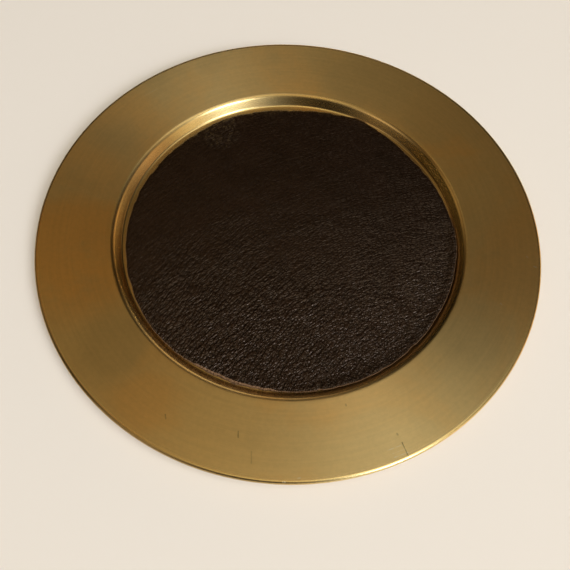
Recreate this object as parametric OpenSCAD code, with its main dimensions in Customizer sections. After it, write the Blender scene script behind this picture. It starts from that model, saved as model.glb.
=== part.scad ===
// Offering plate: a shallow spun brass dish with a broad rim, and a leather disc that is
// cemented into its well. Millimetres, +Z up. The origin is the centre of the flat underside
// of the well's floor, which the plate stands on.

/* [Brass plate] */
// Outside diameter over the rim
plate_d = 305; // [254:1:356]
// Thickness of the brass sheet
sheet_t = 1.2; // [0.8:0.1:1.6]
// Diameter at which the well's wall would meet the floor in a sharp corner
floor_d = 207; // [150:1:208]
// Depth of the well, from the corner of the rim and the wall down to the floor
well_depth = 6.6; // [5.5:0.1:9]
// Slope of the well's wall, in degrees from flat
wall_slope = 59; // [50:1:70]
// Height that the rim gains from the well to its outer edge
rim_rise = 4.1; // [2:0.1:8]

/* [Bends] */
// Radius of the rounded shoulder between rim and wall, on the top surface
shoulder_r = 4; // [3:0.1:7]
// Radius of the fillet between wall and floor, on the top surface
fillet_r = 2; // [1:0.1:2.5]
// Radius inside the turned-down edge
edge_inner_r = 0.5; // [0.3:0.1:1]
// Length of the straight skirt below the turned-down edge
edge_skirt = 0.5; // [0.2:0.1:2]

/* [Leather inset] */
// Thickness of the leather
leather_t = 1.3; // [0.8:0.1:2]
// Gap from the leather's edge to the corner of wall and floor
leather_gap = 2.3; // [1.5:0.1:8]
// Width of the bevel that the knife left on the top edge
leather_bevel = 0.3; // [0.1:0.1:0.5]
// Thickness of the film of cement under the leather
cement_t = 0.12; // [0.05:0.01:0.3]
// How far the cement stops short of the leather's edge
cement_inset = 0.6; // [0:0.1:3]

/* [Hidden] */
$fn = 180;

rim_r = plate_d / 2;
floor_r = floor_d / 2;
edge_r = edge_inner_r + sheet_t;
leather_r = floor_r - leather_gap;

// Corner of the rim and the wall before it is rounded, and the rim's slope beyond it
corner = [floor_r + well_depth / tan(wall_slope), sheet_t + well_depth];
rim_slope = atan(rim_rise / (rim_r - corner[0]));

// Lengths that each bend takes from the straight stretches beside it
fillet_reach = fillet_r * tan(wall_slope / 2);
shoulder_reach = shoulder_r * tan((wall_slope - rim_slope) / 2);

// Centres of the bends: the fillet's is above the sheet, the other two are below it
fillet_c = [floor_r - fillet_reach, sheet_t + fillet_r];
shoulder_c = corner + shoulder_reach * [cos(rim_slope), sin(rim_slope)]
    + shoulder_r * [sin(rim_slope), -cos(rim_slope)];
edge_x = rim_r - edge_r;
edge_c = [edge_x, corner[1] + (edge_x - corner[0]) * tan(rim_slope) - edge_r / cos(rim_slope)];

// Points of a bend in the top surface, each [radius, height, slope]. A negative size bends down.
function bend(centre, size, slope_from, slope_to, steps) =
    [for (i = [0:steps]) let (s = slope_from + (slope_to - slope_from) * i / steps)
        [centre[0] + size * sin(s), centre[1] - size * cos(s), s]];

// The top surface from the foot of the wall to the bottom of the turned-down edge
top_line = concat(
    bend(fillet_c, fillet_r, 0, wall_slope, 10),
    bend(shoulder_c, -shoulder_r, wall_slope, rim_slope, 14),
    bend(edge_c, -edge_r, rim_slope, -90, 16),
    [[rim_r, edge_c[1] - edge_skirt, -90]]
);

// The underside follows the top surface at one sheet thickness
function above(line) = [for (p = line) [p[0], p[1]]];
function below(line) = [for (i = [len(line) - 1:-1:0]) let (p = line[i])
    [p[0] + sheet_t * sin(p[2]), p[1] - sheet_t * cos(p[2])]];

// The dish, spun from one disc of sheet brass
module brass_plate() {
    color([0.66, 0.52, 0.27])
    rotate_extrude()
    polygon(concat([[0, sheet_t]], above(top_line), below(top_line), [[0, 0]]));
}

// The film of contact cement that holds the leather down
module cement_film() {
    color([0.62, 0.46, 0.28])
    translate([0, 0, sheet_t])
    cylinder(h = cement_t, r = leather_r - cement_inset);
}

// The leather disc, with its cut edge bevelled at the top
module leather_inset() {
    color([0.13, 0.09, 0.075])
    translate([0, 0, sheet_t + cement_t])
    rotate_extrude()
    polygon([
        [0, 0],
        [leather_r, 0],
        [leather_r, leather_t - leather_bevel],
        [leather_r - leather_bevel, leather_t],
        [0, leather_t]
    ]);
}

brass_plate();
cement_film();
leather_inset();
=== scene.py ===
"""Offering plate: a spun brass dish with a hand-cut leather disc cemented into its well."""

import math

import bpy
import numpy as np
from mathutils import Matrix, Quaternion, Vector


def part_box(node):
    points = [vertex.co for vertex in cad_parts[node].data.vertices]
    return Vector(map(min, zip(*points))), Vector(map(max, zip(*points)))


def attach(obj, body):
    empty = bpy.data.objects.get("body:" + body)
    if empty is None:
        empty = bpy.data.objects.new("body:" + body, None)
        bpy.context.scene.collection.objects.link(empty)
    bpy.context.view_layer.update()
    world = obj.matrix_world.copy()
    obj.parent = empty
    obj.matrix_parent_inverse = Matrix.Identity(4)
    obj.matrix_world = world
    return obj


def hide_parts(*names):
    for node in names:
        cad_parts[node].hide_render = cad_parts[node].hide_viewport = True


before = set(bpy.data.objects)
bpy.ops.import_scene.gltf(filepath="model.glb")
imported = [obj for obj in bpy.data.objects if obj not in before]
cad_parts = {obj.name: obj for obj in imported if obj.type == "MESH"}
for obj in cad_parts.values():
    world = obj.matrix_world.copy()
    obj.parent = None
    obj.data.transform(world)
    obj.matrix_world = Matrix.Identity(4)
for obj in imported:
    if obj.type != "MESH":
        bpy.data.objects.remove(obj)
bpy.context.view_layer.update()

MM = 0.001

# Boxes of the CAD nodes, which give the main radii and heights
PLATE_LOW, PLATE_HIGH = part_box("brass_plate")
CEMENT_LOW, CEMENT_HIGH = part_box("cement_film")
LEATHER_LOW, LEATHER_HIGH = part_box("leather_inset")
RIM_R = PLATE_HIGH.x
SHEET_T = CEMENT_LOW.z - PLATE_LOW.z
LEATHER_R = LEATHER_HIGH.x

# The dish's section, with the bends of the CAD model
FLOOR_R = LEATHER_R + 2.3 * MM
WELL_DEPTH = 6.6 * MM
WALL_SLOPE = math.radians(59)
RIM_RISE = 4.1 * MM
SHOULDER_R = 4 * MM
FILLET_R = 2 * MM
EDGE_R = 0.5 * MM + SHEET_T
EDGE_SKIRT = 0.5 * MM

# The camera above the plate's near side. Its place and lens are a scratch program's fit to the photograph's
# outlines, rounded, and its roll was corrected after that
CAMERA_LENS = 38.84
CAMERA_AT = (0, -1.3092 * RIM_R, PLATE_HIGH.z + 2.0944 * RIM_R)
CAMERA_AIM = (-0.0051 * RIM_R, -0.2725 * RIM_R, PLATE_HIGH.z)
CAMERA_ROLL = math.radians(3.09)


# ---------------------------------------------------------------- meshes and noise

def make_object(name, points, faces, smooth=True):
    """A mesh object from arrays of points and faces."""
    mesh = bpy.data.meshes.new(name)
    mesh.from_pydata([tuple(p) for p in points], [], [tuple(f) for f in faces])
    mesh.validate()
    mesh.polygons.foreach_set("use_smooth", [smooth] * len(mesh.polygons))
    mesh.update()
    obj = bpy.data.objects.new(name, mesh)
    bpy.context.scene.collection.objects.link(obj)
    return obj


def paint(obj, name, values):
    """Stores one number per point of a mesh, for its material to read."""
    attribute = obj.data.attributes.new(name, "FLOAT", "POINT")
    attribute.data.foreach_set("value", np.asarray(values, np.float32))


def ease(x):
    """0 below 0, 1 above 1 and a smooth step between."""
    x = np.clip(x, 0, 1)
    return x * x * (3 - 2 * x)


# Random tables for the noise and for the cells, the same in each run
NOISE_TABLE = 256
rng = np.random.default_rng(7)
noise_values = rng.random((8, NOISE_TABLE, NOISE_TABLE))
cell_jitter = rng.random((4, NOISE_TABLE, NOISE_TABLE, 2))


def noise(x, y, layer=0):
    """Smooth noise from -1 to 1 with features one unit across."""
    xi, yi = np.floor(x).astype(int), np.floor(y).astype(int)
    u, v = ease(x - xi), ease(y - yi)
    table = noise_values[layer]
    n = NOISE_TABLE
    a = table[xi % n, yi % n] * (1 - u) + table[(xi + 1) % n, yi % n] * u
    b = table[xi % n, (yi + 1) % n] * (1 - u) + table[(xi + 1) % n, (yi + 1) % n] * u
    return 2 * (a * (1 - v) + b * v) - 1


def cells(x, y, layer=0, jitter=0.85):
    """Distances to the nearest and the second nearest of scattered cell centres one unit apart."""
    xi, yi = np.floor(x).astype(int), np.floor(y).astype(int)
    near = np.full(x.shape, 9.0)
    second = np.full(x.shape, 9.0)
    for dx in (-2, -1, 0, 1, 2):
        for dy in (-2, -1, 0, 1, 2):
            shift = cell_jitter[layer][(xi + dx) % NOISE_TABLE, (yi + dy) % NOISE_TABLE]
            cx = xi + dx + 0.5 + (shift[..., 0] - 0.5) * jitter
            cy = yi + dy + 0.5 + (shift[..., 1] - 0.5) * jitter
            d = np.hypot(cx - x, cy - y)
            second = np.minimum(second, np.maximum(near, d))
            near = np.minimum(near, d)
    return near, second


# ---------------------------------------------------------------- brass plate

def bend(centre, size, slope_from, slope_to, steps):
    """Stations [radius, height, slope] round a bend; a negative size bends down."""
    slope = np.linspace(slope_from, slope_to, steps + 1)
    return np.stack([centre[0] + size * np.sin(slope), centre[1] - size * np.cos(slope), slope], 1)


def straight(start, end, steps):
    """Stations between two others, without the two themselves."""
    t = np.linspace(0, 1, steps + 1)[1:-1, None]
    return np.asarray(start) * (1 - t) + np.asarray(end) * t


def top_line():
    """Stations of the dish's top surface, from near the centre to the bottom of the edge's skirt."""
    corner_r, corner_z = FLOOR_R + WELL_DEPTH / math.tan(WALL_SLOPE), SHEET_T + WELL_DEPTH
    slope = math.atan(RIM_RISE / (RIM_R - corner_r))
    reach = SHOULDER_R * math.tan((WALL_SLOPE - slope) / 2)
    fillet_c = (FLOOR_R - FILLET_R * math.tan(WALL_SLOPE / 2), SHEET_T + FILLET_R)
    shoulder_c = (
        corner_r + reach * math.cos(slope) + SHOULDER_R * math.sin(slope),
        corner_z + reach * math.sin(slope) - SHOULDER_R * math.cos(slope),
    )
    edge_c = (
        RIM_R - EDGE_R,
        corner_z + (RIM_R - EDGE_R - corner_r) * math.tan(slope) - EDGE_R / math.cos(slope),
    )
    centre = [10 * MM, SHEET_T, 0]
    fillet = bend(fillet_c, FILLET_R, 0, WALL_SLOPE, 8)
    shoulder = bend(shoulder_c, -SHOULDER_R, WALL_SLOPE, slope, 18)
    edge = bend(edge_c, -EDGE_R, slope, -math.pi / 2, 12)
    skirt = [RIM_R, edge_c[1] - EDGE_SKIRT, -math.pi / 2]
    return np.concatenate([
        [centre], straight(centre, fillet[0], 7), fillet, straight(fillet[-1], shoulder[0], 4),
        shoulder, straight(shoulder[-1], edge[0], 34), edge, [skirt],
    ])


def well_height(r):
    """Height of the dish's top surface at radius r inside the well."""
    line = top_line()
    return np.interp(r, line[:, 0], line[:, 1])


def sheet_warp(x, y):
    """How far the spun sheet lies off its true height: spinning ripples and handling waves on the rim."""
    r, turn = np.hypot(x, y), np.arctan2(y, x)
    out = ease((r - FLOOR_R) / (RIM_R - FLOOR_R))
    sway = 0.10 * np.cos(2 * turn + 0.7) + 0.06 * np.cos(3 * turn - 1.1) + 0.03 * np.cos(5 * turn + 2)
    ripple = 0.0035 * np.sin(2 * np.pi * r / (5.2 * MM) + 0.8 * noise(x / 0.05, y / 0.05, 1))
    handling = 0.02 * noise(x / 0.022, y / 0.022, 2) + 0.008 * noise(x / 0.009, y / 0.009, 3)
    return MM * (out * sway + ease((r - FLOOR_R) / (8 * MM)) * (ripple + handling))


def make_plate():
    """The dish as one closed surface of rings, top and underside."""
    segments = 540
    top = top_line()
    under = top[::-1].copy()
    under[:, 0] += SHEET_T * np.sin(top[::-1, 2])
    under[:, 1] -= SHEET_T * np.cos(top[::-1, 2])
    burr = 0.25 * MM
    trimmed = [[top[-1, 0] - burr, top[-1, 1] - burr, 0], [under[0, 0] + burr, under[0, 1] - burr, 0]]
    line = np.concatenate([top, trimmed, under])
    turn = np.linspace(0, 2 * np.pi, segments, endpoint=False)
    x = line[:, None, 0] * np.cos(turn)
    y = line[:, None, 0] * np.sin(turn)
    z = line[:, None, 1] + sheet_warp(x, y)
    rings = np.stack([x, y, z], -1).reshape(-1, 3)
    ring, step = np.meshgrid(np.arange(len(line) - 1), np.arange(segments), indexing="ij")
    here, after = ring * segments + step, ring * segments + (step + 1) % segments
    quads = np.stack([here, after, after + segments, here + segments], -1).reshape(-1, 4)
    points = np.concatenate([rings, [[0, 0, SHEET_T], [0, 0, 0]]])
    last = (len(line) - 1) * segments
    top_pole, under_pole = len(rings), len(rings) + 1
    fans = [(top_pole, (i + 1) % segments, i) for i in range(segments)]
    fans += [(under_pole, last + i, last + (i + 1) % segments) for i in range(segments)]
    faces = [tuple(q[::-1]) for q in quads.tolist()] + [tuple(f[::-1]) for f in fans]
    return make_object("plate_brass", points, faces)


# ---------------------------------------------------------------- leather inset

# The leather's outline as azimuth in degrees and radius in millimetres. The radii are points of its edge
# in the photograph that a scratch program turned into millimetres, thinned out and rounded, with the rows
# from 250 to 347 then changed by hand
KNIFE_LINE = [
    (0, 103.9), (20, 102.1), (40, 99.7), (52, 101.2), (65, 103.2), (77, 100.5), (94, 98.0),
    (117, 100.2), (137, 99.1), (162, 99.8), (188, 100.9), (207, 101.5), (226, 102.6),
    (250, 101.4), (275, 102.4), (293, 103.2), (311, 103.4), (328, 103.0), (347, 103.4),
]
LEATHER_T = LEATHER_HIGH.z - LEATHER_LOW.z

# Azimuths of the middles of the stretches where the cut edge is frayed and where it curls up
FRAY_AT = math.radians(255)
CURL_AT = math.radians(-42)


def knife_radius(turn):
    """Radius of the leather's outline at an azimuth in radians, with the wobble of a hand-held knife."""
    at, radius = np.array(KNIFE_LINE).T
    at = np.concatenate([at - 360, at, at + 360])
    radius = np.tile(radius, 3)
    degrees = np.degrees(turn) % 360
    smooth = sum(np.interp(degrees + d, at, radius) for d in (-4, -2, 0, 2, 4)) / 5
    slow = 0.38 * noise(degrees / 5.0, 0 * degrees + 3.5, 4)
    quick = 0.20 * noise(degrees / 1.8, 0 * degrees + 9.5, 5)
    wobble = slow + quick
    nick = ease((noise(degrees / 3.1, 0 * degrees + 6.5, 6) - 0.35) / 0.25)
    return (smooth + wobble - 0.55 * nick) * MM


def disc_grid(n):
    """A square grid of n by n quads bent into a unit disc, and the quads."""
    a, b = np.meshgrid(np.linspace(-1, 1, n + 1), np.linspace(-1, 1, n + 1), indexing="ij")
    wide = np.abs(a) > np.abs(b)
    r = np.where(wide, a, b)
    with np.errstate(divide="ignore", invalid="ignore"):
        turn = np.where(wide, np.pi / 4 * b / a, np.pi / 2 - np.pi / 4 * a / b)
    turn = np.nan_to_num(turn)
    i, j = np.meshgrid(np.arange(n), np.arange(n), indexing="ij")
    here = i * (n + 1) + j
    quads = np.stack([here, here + n + 1, here + n + 2, here + 1], -1).reshape(-1, 4)
    return (r * np.cos(turn)).ravel(), (r * np.sin(turn)).ravel(), quads


# The side of the disc whose grain is flatter, as a direction from the axis
SMOOTH_SIDE = (-0.25, 0.97, 0)

# The grain runs in arcs about a point well outside the disc
GRAIN_CENTRE = (139 * MM, -166 * MM)
GRAIN_REACH = 216 * MM


def grain(x, y):
    """Height of the leather's grain from 0 to 1: rows of long pebbles with finer ones along them."""
    dx, dy = x - GRAIN_CENTRE[0], y - GRAIN_CENTRE[1]
    along = GRAIN_REACH * np.arctan2(dy, dx)
    across = np.hypot(dx, dy)
    along = along + 1.6 * MM * noise(x / 0.009, y / 0.009, 0)
    across = across + 1.4 * MM * noise(x / 0.011, y / 0.011, 1) + 4 * MM * noise(x / 0.05, y / 0.05, 2)
    near, second = cells(along / (4.4 * MM), across / (2.0 * MM))
    pebble = 1 - (1 - np.clip((second - near) / 0.6, 0, 1)) ** 2
    row = 1 - np.abs(noise(along / (9 * MM), across / (2.6 * MM), 3))
    fold = 0.5 + 0.5 * noise(along / (30 * MM), across / (7 * MM), 6)
    return 0.48 * pebble + 0.32 * row + 0.2 * fold


def leather_top(x, y, depth):
    """Height of the leather's grain side above its flat back. depth is the distance in from the cut edge."""
    smooth_side = SMOOTH_SIDE[0] * x + SMOOTH_SIDE[1] * y
    strength = 0.35 + 0.65 * ease((0.035 - smooth_side) / 0.08)
    strength *= 0.8 + 0.3 * noise(x / 0.035, y / 0.035, 4)
    relief = 0.24 * MM * strength * (grain(x, y) - 1)
    swell = 0.06 * MM * noise(x / 0.03, y / 0.03, 5) + 0.05 * MM * noise(x / 0.012, y / 0.012, 6)
    inside = ease(depth / (2.2 * MM))
    pressed = -0.28 * MM * (1 - ease(depth / (1.3 * MM)))
    return LEATHER_T + (relief + swell) * (0.25 + 0.75 * inside) + pressed


def lift(edge_r, depth, turn):
    """How far the leather rides up where its edge lies on the well's fillet, and curls at the near right."""
    rise = well_height(edge_r + 0.2 * MM) - SHEET_T
    curl = 0.9 * MM * ease((np.cos(turn - CURL_AT) - 0.55) / 0.35)
    return (rise + curl) * ease(1 - depth / (8 * MM)) ** 1.5


def cut_sides(turn, edge_r, low, high):
    """Rings of points down the raw cut edge, and the ring inside it where the flat back begins."""
    sides = []
    rag = noise(np.degrees(turn) / 0.9, 0 * turn + 2.5, 2)
    for share, out in ((0.72, 0.10), (0.40, 0.16), (0.05, 0.10)):
        r = edge_r + MM * (out + 0.08 * rag)
        sides.append(np.stack([r * np.cos(turn), r * np.sin(turn), low + share * (high - low)], 1))
    base = sides[-1] * [0.97, 0.97, 1]
    base[:, 2] = CEMENT_HIGH.z
    return sides + [base]


def make_leather():
    """The leather disc: a grained top, a raw cut edge and a flat back that is stuck down."""
    n = 300
    u, v, quads = disc_grid(n)
    turn, share = np.arctan2(v, u), np.hypot(u, v)
    edge_r = knife_radius(turn)
    r = share * edge_r
    x, y = r * np.cos(turn), r * np.sin(turn)
    depth = edge_r - r
    back = CEMENT_HIGH.z + lift(edge_r, depth, turn)
    top = np.stack([x, y, back + leather_top(x, y, depth)], 1)

    index = np.arange((n + 1) ** 2).reshape(n + 1, n + 1)
    loop = np.concatenate([index[:-1, 0], index[-1, :-1], index[:0:-1, -1], index[0, :0:-1]])
    count = len(loop)
    sides = cut_sides(turn[loop], edge_r[loop], back[loop], top[loop, 2])
    points = np.concatenate([top, *sides, [[0, 0, CEMENT_HIGH.z]]])

    rings = [loop] + [len(top) + k * count + np.arange(count) for k in range(len(sides))]
    faces = quads.tolist()
    for upper, lower in zip(rings[:-1], rings[1:]):
        faces += np.stack([upper, lower, np.roll(lower, -1), np.roll(upper, -1)], 1).tolist()
    pole = len(points) - 1
    faces += [(rings[-1][i], pole, rings[-1][(i + 1) % count]) for i in range(count)]
    obj = make_object("inset_leather", points, faces)

    raw = np.zeros(len(points))
    frayed = 0.7 * ease((np.cos(turn - FRAY_AT) - 0.96) / 0.03)
    raw[:len(top)] = 1 - ease((depth / MM - 0.25 - frayed) / 0.5)
    raw[len(top):] = 1
    paint(obj, "raw_edge", raw)
    return obj


# ---------------------------------------------------------------- cement film

def make_cement():
    """The coat of cement: a thin film that squeezes out past the leather, most of all at the near left."""
    segments = 720
    turn = np.linspace(0, 2 * np.pi, segments, endpoint=False)
    degrees = np.degrees(turn)
    patch = np.exp(-((degrees - 252) / 10) ** 2)
    ragged = 0.5 + 0.5 * noise(degrees / 2.3, 0 * degrees + 1.5, 3)
    squeeze = -0.1 + 0.25 * ragged ** 2 + patch * (0.4 + 0.9 * ragged)
    outer = np.minimum(knife_radius(turn) + squeeze * MM, FLOOR_R - 0.2 * MM)
    profile = ((-3.0, 0.0), (-1.2, 0.10), (-0.35, 0.18), (-0.08, 0.12), (0.0, 0.0))
    points = []
    for inset, height in profile:
        r = outer + inset * MM
        z = well_height(r) + height * MM * (0.7 + 0.6 * ragged)
        points.append(np.stack([r * np.cos(turn), r * np.sin(turn), z], 1))
    under = points[-1] - [0, 0, 0.02 * MM]
    poles = [[0, 0, CEMENT_HIGH.z], [0, 0, CEMENT_LOW.z]]
    points = np.concatenate([*points, under, poles])
    points[:segments, 2] = CEMENT_HIGH.z
    faces = []
    for k in range(len(profile)):
        here = k * segments + np.arange(segments)
        after = k * segments + (np.arange(segments) + 1) % segments
        faces += np.stack([here, here + segments, after + segments, after], 1).tolist()
    pole, last = len(points) - 2, len(profile) * segments
    for i in range(segments):
        j = (i + 1) % segments
        faces.append((pole, i, j))
        faces.append((pole + 1, last + j, last + i))
    return make_object("film_cement", points, faces)


# ---------------------------------------------------------------- materials

class Graph:
    """Adds and links the nodes of one material or world."""

    def __init__(self, tree):
        """Takes a node tree and empties it."""
        self.tree = tree
        tree.nodes.clear()

    def add(self, kind, inputs=None, out=0, **settings):
        """Adds a node, links or sets its inputs and gives one of its outputs."""
        node = self.tree.nodes.new(kind)
        for name, value in settings.items():
            setattr(node, name, value)
        for key, value in (inputs or {}).items():
            socket = node.inputs[key]
            if isinstance(value, bpy.types.NodeSocket):
                self.tree.links.new(value, socket)
            else:
                socket.default_value = value
        return node.outputs[out] if node.outputs else node

    def math(self, operation, a, b=0.0):
        """Arithmetic on two numbers."""
        return self.add("ShaderNodeMath", {0: a, 1: b}, operation=operation)

    def vector(self, operation, a, b=(0, 0, 0), out=0):
        """Arithmetic on two vectors; out=1 gives the result that is a number."""
        return self.add("ShaderNodeVectorMath", {0: a, 1: b}, out, operation=operation)

    def remap(self, value, low, high, to_low=0.0, to_high=1.0, smooth=True):
        """Moves a value from one range to another and holds it inside the new one."""
        kind = "SMOOTHSTEP" if smooth else "LINEAR"
        return self.add("ShaderNodeMapRange", {
            "Value": value, "From Min": low, "From Max": high, "To Min": to_low, "To Max": to_high,
        }, interpolation_type=kind)

    def noise(self, vector, scale, detail=2.0, rough=0.5, distortion=0.0):
        """Smooth noise between 0 and 1."""
        return self.add("ShaderNodeTexNoise", {
            "Vector": vector, "Scale": scale, "Detail": detail, "Roughness": rough,
            "Distortion": distortion,
        })

    def mix(self, factor, a, b, blend="MIX"):
        """Blends two colours."""
        node = self.tree.nodes.new("ShaderNodeMix")
        node.data_type = "RGBA"
        node.blend_type = blend
        for socket, value in ((node.inputs[0], factor), (node.inputs[6], a), (node.inputs[7], b)):
            if isinstance(value, bpy.types.NodeSocket):
                self.tree.links.new(value, socket)
            else:
                socket.default_value = value
        return node.outputs[2]

    def bump(self, height, distance, strength):
        """A normal that follows a height."""
        return self.add("ShaderNodeBump", {"Height": height, "Distance": distance, "Strength": strength})


def new_material(name):
    """An empty material and its graph."""
    material = bpy.data.materials.new(name)
    material.use_nodes = True
    return material, Graph(material.node_tree)


def finish_surface(graph, inputs):
    """The Principled shader and the output."""
    shader = graph.add("ShaderNodeBsdfPrincipled", inputs)
    graph.add("ShaderNodeOutputMaterial", {"Surface": shader})


def split(graph, vector):
    """The three parts of a vector."""
    node = graph.tree.nodes.new("ShaderNodeSeparateXYZ")
    graph.tree.links.new(vector, node.inputs[0])
    return node.outputs


def ring_coordinates(graph, position, along, across):
    """Coordinates in which noise is drawn out along circles round the plate's axis."""
    x, y, _ = split(graph, position)
    flat = graph.add("ShaderNodeCombineXYZ", {"X": x, "Y": y})
    radius = graph.vector("LENGTH", flat, out=1)
    unit = graph.vector("NORMALIZE", flat)
    ux, uy, _ = split(graph, unit)
    return radius, graph.add("ShaderNodeCombineXYZ", {
        "X": graph.math("MULTIPLY", ux, along), "Y": graph.math("MULTIPLY", uy, along),
        "Z": graph.math("MULTIPLY", radius, across),
    })


def segment_distance(graph, flat, start, end):
    """Distance from a point on the plate to a straight scratch between two points in millimetres."""
    a, b = Vector((*start, 0)) * MM, Vector((*end, 0)) * MM
    line = b - a
    from_a = graph.vector("SUBTRACT", flat, tuple(a))
    along = graph.vector("DOT_PRODUCT", from_a, tuple(line), out=1)
    t = graph.math("MULTIPLY", along, 1 / line.length_squared)
    t = graph.math("MINIMUM", graph.math("MAXIMUM", t, 0.0), 1.0)
    nearest = graph.add("ShaderNodeVectorMath", {0: tuple(line), 3: t}, operation="SCALE")
    return graph.vector("LENGTH", graph.vector("SUBTRACT", from_a, nearest), out=1)


# Base colours of the brass: rubbed, orange with tarnish, dull with tarnish, dark for painted shade, and
# in dark and pale marks
BRASS_CLEAN = (0.89, 0.675, 0.30, 1)
BRASS_WARM = (0.98, 0.60, 0.195, 1)
BRASS_DULL = (0.74, 0.57, 0.26, 1)
# Painted shade colour for the well's corner, the shoulder's far side and the rolled edge's left side
BRASS_PAINTED_SHADE = (0.42, 0.29, 0.115, 1)
DARK_MARK = (0.10, 0.065, 0.03, 1)
PALE_MARK = (1.0, 0.93, 0.72, 1)

# Roughness of the brushed brass, the share of it that is left on the bends, and how far it is drawn out
BRUSHED = (0.295, 0.345)
BURNISHED = 0.75
DRAWN_OUT = 0.80

# Radii between which the well's corner, the shoulder's painted shade, the bends and the rolled edge begin
# and end
CORNER = (FLOOR_R, FLOOR_R + 3 * MM)
PAINTED_SHOULDER_SHADE = (FLOOR_R + 3.3 * MM, FLOOR_R + 4.3 * MM, FLOOR_R + 4.9 * MM, FLOOR_R + 6.3 * MM)
BENDS = (FLOOR_R + 4 * MM, FLOOR_R + 7 * MM, RIM_R - 3 * MM, RIM_R - 1.7 * MM)
ROLLED_EDGE = (RIM_R - 1.8 * MM, RIM_R - 1.1 * MM)

# Sides of the dish as directions from the axis: where the corner's painted shade is lighter, where the
# shoulder gets painted shade, and where the rolled edge gets painted shade
LIGHTER_CORNER_SIDE = (-0.42, 0.91, 0)
PAINTED_SHOULDER_SHADE_SIDE = (0.05, 1, 0)
PAINTED_EDGE_SHADE_SIDE = (-0.9, -0.44, 0)

# Orange and dull patches on the rim in millimetres: the middle, the reach and how strong
WARM_PATCHES = [((-126, -20), 50, 1.0), ((104, 78), 44, 0.2), ((-72, -112), 22, 0.5)]
DULL_PATCHES = [
    ((44, 124), 44, 0.75), ((96, 88), 36, 0.45), ((-116, 62), 30, 0.55), ((-90, -88), 20, 0.75),
    ((112, -62), 26, 0.35), ((-60, 128), 16, 0.35),
]

# Scratches and nicks on the rim in millimetres: start, end, half-width and how strong. The clearest were
# picked in the photograph and a scratch program turned their places into millimetres
DARK_MARKS = [
    ((64.6, -128.0), (67.4, -135.0), 0.22, 0.75),
    ((-20.6, -127.0), (-20.3, -130.2), 0.35, 0.45),
    ((-59.5, -120.6), (-58.8, -123.0), 0.35, 0.40),
    ((35.5, -109.0), (35.7, -109.6), 0.55, 0.35),
    ((62.2, -123.5), (62.5, -124.0), 0.60, 0.35),
    ((-13.0, -137.0), (-12.4, -143.0), 0.30, 0.20),
]
PALE_MARKS = [
    ((146.6, -19.6), (147.9, -20.2), 0.45, 0.45),
    ((143.0, -12.6), (143.6, -13.4), 0.40, 0.35),
    ((124.5, -44.5), (125.1, -45.2), 0.40, 0.30),
    ((57.0, -132.6), (64.0, -129.6), 0.16, 0.40),
    ((59.5, -134.2), (66.5, -131.2), 0.14, 0.35),
    ((60.5, -136.0), (67.5, -133.0), 0.16, 0.45),
    ((4.0, -151.4), (5.4, -151.3), 0.35, 0.60),
    ((11.4, -149.2), (12.6, -148.8), 0.35, 0.50),
    ((-104.0, 96.0), (-96.0, 103.0), 0.22, 0.20),
    ((118.0, 88.0), (122.0, 80.0), 0.20, 0.18),
]


def strongest(graph, strengths):
    """The largest of a list of strengths."""
    total = strengths[0]
    for strength in strengths[1:]:
        total = graph.math("MAXIMUM", total, strength)
    return total


def marks(graph, flat, wobble, table):
    """Strength of a table of marks at a point: the strongest of them there."""
    found = []
    for start, end, half, strength in table:
        away = graph.math("ADD", segment_distance(graph, flat, start, end), wobble)
        found.append(graph.remap(away, 0.3 * half * MM, 1.4 * half * MM, strength, 0.0))
    return strongest(graph, found)


def patches(graph, flat, wobble, table):
    """Strength of a table of round patches with soft uneven edges: the strongest of them there."""
    found = []
    for middle, reach, strength in table:
        offset = graph.vector("SUBTRACT", flat, (middle[0] * MM, middle[1] * MM, 0))
        away = graph.math("ADD", graph.vector("LENGTH", offset, out=1), wobble)
        found.append(graph.remap(away, 0.3 * reach * MM, 1.1 * reach * MM, strength, 0.0))
    return strongest(graph, found)


def towards(graph, position, side):
    """How far a point lies out towards a side of the dish, in metres."""
    return graph.vector("DOT_PRODUCT", position, side, out=1)


def tarnished_colour(g, position, flat, cloud, blotch):
    """Colour of the brass with its orange and dull patches, which have cloudy edges."""
    uneven = g.remap(cloud, 0.3, 0.7, -12 * MM, 12 * MM)
    orange = patches(g, flat, uneven, WARM_PATCHES)
    warm = g.math("MAXIMUM", g.remap(cloud, 0.42, 0.64, 0.0, 0.55), orange)
    colour = g.mix(warm, BRASS_CLEAN, BRASS_WARM)
    colour = g.mix(g.remap(blotch, 0.50, 0.75, 0.0, 0.45), colour, BRASS_DULL)
    return g.mix(patches(g, flat, uneven, DULL_PATCHES), colour, BRASS_DULL)


def painted_corner_shade(g, position, radius, blotch):
    """Painted shade in the well's corner: less on its far-left side."""
    corner = g.remap(radius, *CORNER, 0.75, 0.0)
    corner = g.math("MULTIPLY", corner, g.remap(towards(g, position, LIGHTER_CORNER_SIDE), 0.05, 0.1, 1.0, 0.25))
    return g.math("MULTIPLY", corner, g.remap(blotch, 0.3, 0.7, 0.75, 1.0))


def painted_shoulder_shade(g, position, radius):
    """Painted shade on the shoulder's far side. It holds down a reflection that the photograph doesn't show.
    """
    ring_in, ring_on, ring_off, ring_out = PAINTED_SHOULDER_SHADE
    rise = g.remap(radius, ring_in, ring_on)
    fall = g.remap(radius, ring_off, ring_out, 1.0, 0.0)
    ring = g.math("MULTIPLY", rise, fall)
    return g.math("MULTIPLY", ring, g.remap(towards(g, position, PAINTED_SHOULDER_SHADE_SIDE), 0.04, 0.1, 0.0, 0.65))


def painted_edge_shade(g, position, radius):
    """Painted shade on the rolled edge: on the left side only."""
    side = g.remap(towards(g, position, PAINTED_EDGE_SHADE_SIDE), 0.02, 0.10, 0.0, 0.9)
    return g.math("MULTIPLY", g.remap(radius, *ROLLED_EDGE), side)


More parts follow.
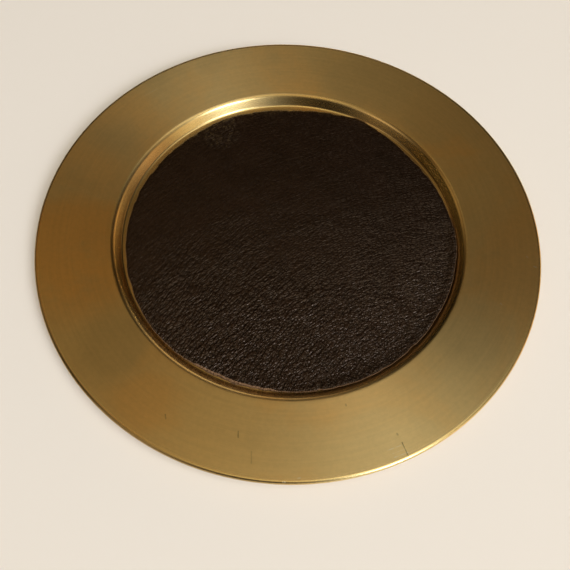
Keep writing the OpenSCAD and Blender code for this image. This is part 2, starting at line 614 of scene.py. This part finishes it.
def brass_roughness(g, radius, hairline, cloud, pale):
    """Roughness of the brushing, rougher on pale scuffs and smoother on the burnished bends."""
    rough = g.math("ADD", g.remap(hairline, 0.3, 0.7, *BRUSHED), g.remap(cloud, 0.35, 0.7, -0.012, 0.02))
    rough = g.math("ADD", rough, g.math("MULTIPLY", pale, 0.15))
    shoulder = g.remap(radius, BENDS[0], BENDS[1], 1.0, 0.0)
    bent = g.math("MAXIMUM", shoulder, g.remap(radius, BENDS[2], BENDS[3]))
    return g.math("MULTIPLY", rough, g.remap(bent, 0.0, 1.0, 1.0, BURNISHED, smooth=False))


def brass_material():
    """Satin brass, brushed in circles, with hairlines, tarnish, handling marks and painted shade in places.
    """
    material, g = new_material("satin_brass")
    position = g.add("ShaderNodeTexCoord", out=3)
    x, y, z = split(g, position)
    flat = g.add("ShaderNodeCombineXYZ", {"X": x, "Y": y})
    radius, fine_rings = ring_coordinates(g, position, 7.0, 8000.0)
    _, broad_rings = ring_coordinates(g, position, 2.5, 700.0)
    hairline = g.noise(fine_rings, 1.0, 3.0, 0.6)
    streak = g.noise(broad_rings, 1.0, 3.0, 0.55)
    cloud = g.noise(position, 11.0, 4.0, 0.55, 0.5)
    blotch = g.noise(g.vector("ADD", position, (0.3, 0.1, 0.7)), 30.0, 5.0, 0.6)
    speckle = g.noise(position, 420.0, 3.0, 0.6)

    wobble = g.remap(speckle, 0.3, 0.7, -0.12 * MM, 0.12 * MM)
    top_side = g.remap(z, 0.0055, 0.0065)
    dark = g.math("MULTIPLY", marks(g, flat, wobble, DARK_MARKS), top_side)
    pale = g.math("MULTIPLY", marks(g, flat, wobble, PALE_MARKS), top_side)

    colour = tarnished_colour(g, position, flat, cloud, blotch)
    # Painted shade: the well's corner is darkened, less on its far-left side
    colour = g.mix(painted_corner_shade(g, position, radius, blotch), colour, BRASS_PAINTED_SHADE)
    streaks = g.remap(streak, 0.25, 0.75, 0.965, 1.025)
    shade = g.math("MULTIPLY", streaks, g.remap(speckle, 0.3, 0.7, 0.97, 1.02))
    colour = g.mix(1.0, colour, g.add("ShaderNodeCombineColor", {0: shade, 1: shade, 2: shade}), "MULTIPLY")
    # Painted shade: the shoulder's far side is darkened to hold down a reflection
    colour = g.mix(painted_shoulder_shade(g, position, radius), colour, BRASS_PAINTED_SHADE)
    # Painted shade: the rolled edge is darkened on its left side
    colour = g.mix(painted_edge_shade(g, position, radius), colour, BRASS_PAINTED_SHADE)
    colour = g.mix(dark, colour, DARK_MARK)
    colour = g.mix(pale, colour, PALE_MARK)

    height = g.math("ADD", g.math("MULTIPLY", hairline, 0.5), g.math("MULTIPLY", streak, 0.3))
    height = g.math("SUBTRACT", height, g.math("MULTIPLY", dark, 3.0))
    rough = brass_roughness(g, radius, hairline, cloud, pale)
    finish_surface(g, {
        "Base Color": colour, "Metallic": 1.0, "Roughness": rough,
        "Normal": g.bump(height, 0.012 * MM, 0.6), "Anisotropic": DRAWN_OUT, "Anisotropic Rotation": 0.25,
        "Tangent": g.add("ShaderNodeTangent", direction_type="RADIAL", axis="Z"),
    })
    return material


def arc_coordinates(graph, position, along, across):
    """Coordinates that follow the leather's grain, in cells of the given length and width."""
    centre = (GRAIN_CENTRE[0], GRAIN_CENTRE[1], 0)
    x, y, _ = split(graph, graph.vector("SUBTRACT", position, centre))
    flat = graph.add("ShaderNodeCombineXYZ", {"X": x, "Y": y})
    turn = graph.math("MULTIPLY", graph.math("ARCTAN2", y, x), GRAIN_REACH / along)
    out = graph.math("MULTIPLY", graph.vector("LENGTH", flat, out=1), 1 / across)
    return graph.add("ShaderNodeCombineXYZ", {"X": turn, "Y": out})


# Length and width of the leather's pebbles and of its rows, and how deep the grain goes
PEBBLE = (2.9 * MM, 1.45 * MM)
ROW = (5.6 * MM, 1.75 * MM)
GRAIN_DEPTH = 0.32 * MM

# Stretches where the worn grain still shows, in millimetres: the middle, the reach and how strong
WORN_STRETCHES = [((-52, 82), 13, 0.62), ((-34, 6), 42, 0.56)]

# Colours of the hide, of the painted shade in its valleys and of the raw cut edge
HIDE_DARK = (0.0050, 0.0019, 0.0008, 1)
HIDE_PALE = (0.0080, 0.0033, 0.0016, 1)
HIDE_VALLEY_SHADE = (0.0012, 0.0006, 0.0003, 1)
RAW_DARK = (0.07, 0.038, 0.02, 1)
RAW_PALE = (0.26, 0.155, 0.085, 1)


def grain_strength(g, position):
    """How much of the grain is left: strong at the near side and worn almost flat at the far side."""
    x, y, _ = split(g, position)
    flat = g.add("ShaderNodeCombineXYZ", {"X": x, "Y": y})
    uneven = g.remap(g.noise(position, 22.0, 2.0, 0.5), 0.3, 0.7, -15 * MM, 15 * MM)
    far = g.math("ADD", towards(g, position, SMOOTH_SIDE), uneven)
    coarse = g.remap(far, 20 * MM, -85 * MM, smooth=False)
    left = g.math("ADD", g.math("MULTIPLY", g.math("POWER", coarse, 1.4), 0.88), 0.42)
    return g.math("MAXIMUM", left, patches(g, flat, uneven, WORN_STRETCHES))


def leather_grain(g, position, strength, fine):
    """Height of the grain: pebbles between rows of folds, which wander, and a fine tooth."""
    wander = g.add("ShaderNodeTexNoise", {"Vector": position, "Scale": 75.0, "Detail": 1.0}, out=1)
    wander = g.vector("SUBTRACT", wander, (0.5, 0.5, 0.5))
    wander = g.add("ShaderNodeVectorMath", {0: wander, 3: 3.8 * MM}, operation="SCALE")
    followed = g.vector("ADD", position, wander)
    pebble = g.add("ShaderNodeTexVoronoi", {
        "Vector": arc_coordinates(g, followed, *PEBBLE), "Scale": 1.0, "Randomness": 0.9,
    }, feature="DISTANCE_TO_EDGE", voronoi_dimensions="2D")
    row = g.noise(arc_coordinates(g, followed, *ROW), 1.0, 1.0, 0.5)
    dome = g.math("MULTIPLY", g.remap(pebble, 0.0, 0.28), 0.45)
    ridge = g.math("MULTIPLY", g.remap(row, 0.36, 0.66), g.remap(strength, 0.3, 1.0, 0.35, 0.95))
    height = g.math("MULTIPLY", g.math("ADD", dome, ridge), strength)
    return g.math("ADD", height, g.math("MULTIPLY", fine, 0.022))


def leather_material():
    """Dark brown grain leather, glossy on the pebbles, with painted shade in its valleys and a raw tan cut
    edge.
    """
    material, g = new_material("brown_leather")
    position = g.add("ShaderNodeTexCoord", out=3)
    fine = g.noise(position, 1300.0, 4.0, 0.6, 0.5)
    tone = g.noise(position, 40.0, 4.0, 0.6)
    fibre = g.noise(position, 2600.0, 4.0, 0.7)
    raw = g.remap(g.add("ShaderNodeAttribute", out=2, attribute_name="raw_edge"), 0.72, 0.95)
    strength = grain_strength(g, position)
    height = leather_grain(g, position, strength, fine)

    hide = g.mix(g.remap(tone, 0.35, 0.65), HIDE_DARK, HIDE_PALE)
    # Painted shade: the grain's valleys are darkened where the grain is strong
    valley_shade = g.math("MULTIPLY", g.remap(height, 0.2, 0.9, 0.8, 0.0), strength)
    hide = g.mix(valley_shade, hide, HIDE_VALLEY_SHADE)
    edge = g.mix(g.remap(fibre, 0.35, 0.65), RAW_DARK, RAW_PALE)
    finish_surface(g, {
        "Base Color": g.mix(raw, hide, edge),
        "Roughness": g.math("ADD", g.remap(fine, 0.3, 0.7, 0.23, 0.31), g.math("MULTIPLY", raw, 0.4)),
        "Normal": g.bump(height, GRAIN_DEPTH, 1.0),
        "Specular IOR Level": 0.7, "Specular Tint": (1.0, 0.75, 0.57, 1),
    })
    return material


def cement_material():
    """Dried contact cement: dark amber, a little glossy and lumpy."""
    material, g = new_material("contact_cement")
    position = g.add("ShaderNodeTexCoord", out=3)
    lump = g.noise(position, 700.0, 4.0, 0.6)
    colour = g.mix(g.remap(lump, 0.35, 0.65), (0.045, 0.022, 0.009, 1), (0.16, 0.09, 0.04, 1))
    finish_surface(g, {
        "Base Color": colour, "Roughness": g.remap(lump, 0.3, 0.7, 0.45, 0.65),
        "Normal": g.bump(lump, 0.1 * MM, 0.8),
    })
    return material


def floor_material():
    """Plain pale floor."""
    material, g = new_material("pale_floor")
    finish_surface(g, {"Base Color": (0.80, 0.76, 0.70, 1), "Roughness": 0.85, "Specular IOR Level": 0.2})
    return material


# ---------------------------------------------------------------- studio

def make_camera():
    """The camera at the photograph's viewing angle."""
    data = bpy.data.cameras.new("camera")
    data.lens = CAMERA_LENS
    data.clip_start = 0.01
    camera = bpy.data.objects.new("camera", data)
    look = Vector(CAMERA_AIM) - Vector(CAMERA_AT)
    camera.rotation_mode = "QUATERNION"
    camera.rotation_quaternion = look.to_track_quat("-Z", "Y") @ Quaternion((0, 0, 1), CAMERA_ROLL)
    camera.location = CAMERA_AT
    bpy.context.scene.collection.objects.link(camera)
    bpy.context.scene.camera = camera


def make_floor():
    """A square of floor under the plate."""
    half = 3.0
    floor = make_object("floor", [(-half, -half, 0), (half, -half, 0), (half, half, 0), (-half, half, 0)],
                        [(0, 1, 2, 3)], smooth=False)
    floor.data.materials.append(floor_material())


def sky_direction(azimuth, elevation):
    """Unit vector towards a point of the sky, given in degrees."""
    a, e = math.radians(azimuth), math.radians(elevation)
    return math.cos(e) * math.cos(a), math.cos(e) * math.sin(a), math.sin(e)


# Soft lights of the room: azimuth, elevation and half-width in degrees, then the colour at its middle. Most
# of the directions and strengths come from a scratch program's fits to the photograph's reflections, which
# were rounded and then changed by hand
SOFT_LIGHTS = [
    (-49, 36, 6, (12, 13, 15.5)),
    (-45, 36, 16, (0.6, 0.55, 0.45)),
    (-25, 70, 10, (1.8, 1.75, 1.55)),
    (-115, 70, 10, (1.2, 1.0, 0.66)),
    (-60, 15, 12, (0.45, 0.45, 0.45)),
    (-30, 7, 10, (0.9, 0.75, 0.5)),
    (0, 7, 10, (0.7, 0.5, 0.35)),
    (30, 7, 10, (0.7, 0.5, 0.3)),
    (80, 7, 10, (0.9, 0.7, 0.5)),
    (-140, 38, 10, (0.9, 0.7, 0.5)),
    (20, 70, 10, (0.58, 0.55, 0.5)),
    (110, 70, 10, (0.45, 0.32, 0.17)),
    (160, 38, 10, (0.4, 0.27, 0.13)),
]


def make_world():
    """A dark room with soft round lights in it."""
    world = bpy.data.worlds.new("room")
    bpy.context.scene.world = world
    world.use_nodes = True
    g = Graph(world.node_tree)
    direction = g.vector("NORMALIZE", g.add("ShaderNodeTexCoord", out=0))
    total = None
    for azimuth, elevation, width, colour in SOFT_LIGHTS:
        middle = sky_direction(azimuth, elevation)
        off = g.math("SUBTRACT", 1.0, g.vector("DOT_PRODUCT", direction, middle, out=1))
        glow = g.math("EXPONENT", g.math("MULTIPLY", off, -1 / math.radians(width) ** 2))
        light = g.add("ShaderNodeVectorMath", {0: colour, 3: glow}, operation="SCALE")
        total = light if total is None else g.vector("ADD", total, light)
    background = g.add("ShaderNodeBackground", {"Color": total, "Strength": 1.0})
    g.add("ShaderNodeOutputWorld", {"Surface": background})


# The fill light: azimuth and elevation in degrees, distance and width in metres, power in watts, and colour
FILL_AT = (-49, 55)
FILL_DISTANCE = 3.0
FILL_WIDTH = 3.0
FILL_POWER = 70.0
FILL_COLOUR = (1.0, 0.955, 0.89)


def make_fill():
    """A round light that faces the plate's centre and only fills: nothing glossy shows it."""
    data = bpy.data.lights.new("fill", "AREA")
    data.shape = "DISK"
    data.size = FILL_WIDTH
    data.energy = FILL_POWER
    data.color = FILL_COLOUR
    light = bpy.data.objects.new("fill", data)
    light.location = FILL_DISTANCE * Vector(sky_direction(*FILL_AT))
    light.rotation_mode = "QUATERNION"
    light.rotation_quaternion = (-light.location).to_track_quat("-Z", "Y")
    light.visible_glossy = False
    bpy.context.scene.collection.objects.link(light)


# ---------------------------------------------------------------- the object

def place(obj, material, node):
    """Gives a piece its material and puts it in the place of its CAD node."""
    obj.data.materials.append(material)
    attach(obj, "root")
    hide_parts(node)


make_camera()
plate = make_plate()
place(plate, brass_material(), "brass_plate")
cement = make_cement()
place(cement, cement_material(), "cement_film")
leather = make_leather()
place(leather, leather_material(), "leather_inset")

make_floor()
make_world()
make_fill()
bpy.context.scene.view_settings.view_transform = "Standard"
